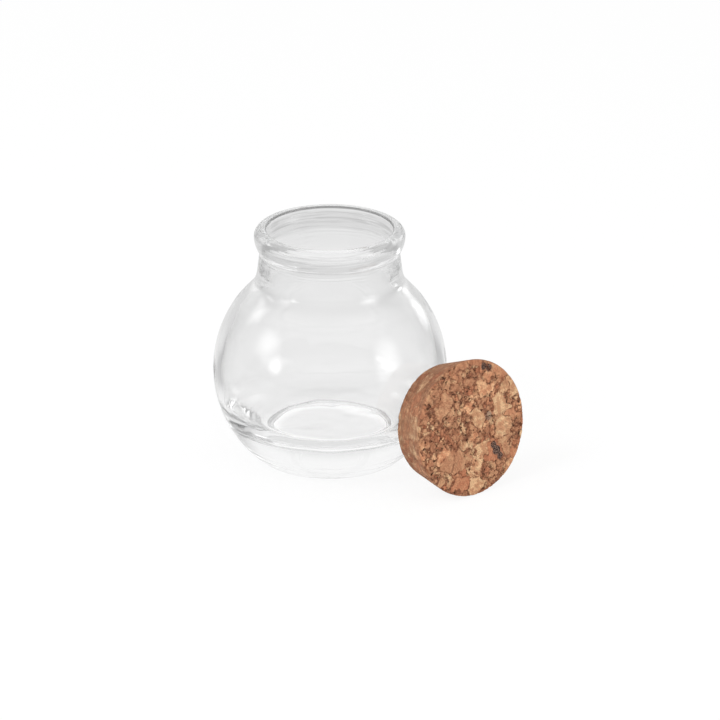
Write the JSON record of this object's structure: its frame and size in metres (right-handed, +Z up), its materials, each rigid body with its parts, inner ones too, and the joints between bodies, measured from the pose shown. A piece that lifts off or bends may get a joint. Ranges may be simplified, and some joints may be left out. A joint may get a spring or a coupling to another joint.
{
  "type": "glass jar with cork lid",
  "caption": "Clear glass ball jar on a heavy flat foot, with a short neck and rounded lip, and its tapered cork lid taken off and leaning beside it.",
  "frame": {"origin": "middle of the ring that the jar stands on, on the jar's middle line", "axes": "+Z up along the jar's middle line, out of its mouth; the picture looks along +Y, with +X to its right"},
  "size_m": [0.0819, 0.0697, 0.0637],
  "materials": {
    "glass": "clear colourless soda-lime glass, smooth and glossy",
    "cork": "pressed cork grains in tan and reddish brown, matt, sanded smooth on the side"
  },
  "bodies": {
    "jar": {"glass_jar": "glass"},
    "cork": {"cork_stopper": "cork"}
  },
  "joints": [
    {"name": "cork_tip", "type": "hinge", "parent": "jar", "child": "cork", "pos_m": [0.03843, -0.02869, 0.0005], "axis": [0.766, 0.6428, 0], "range_deg": [0, 98.6]}
  ]
}
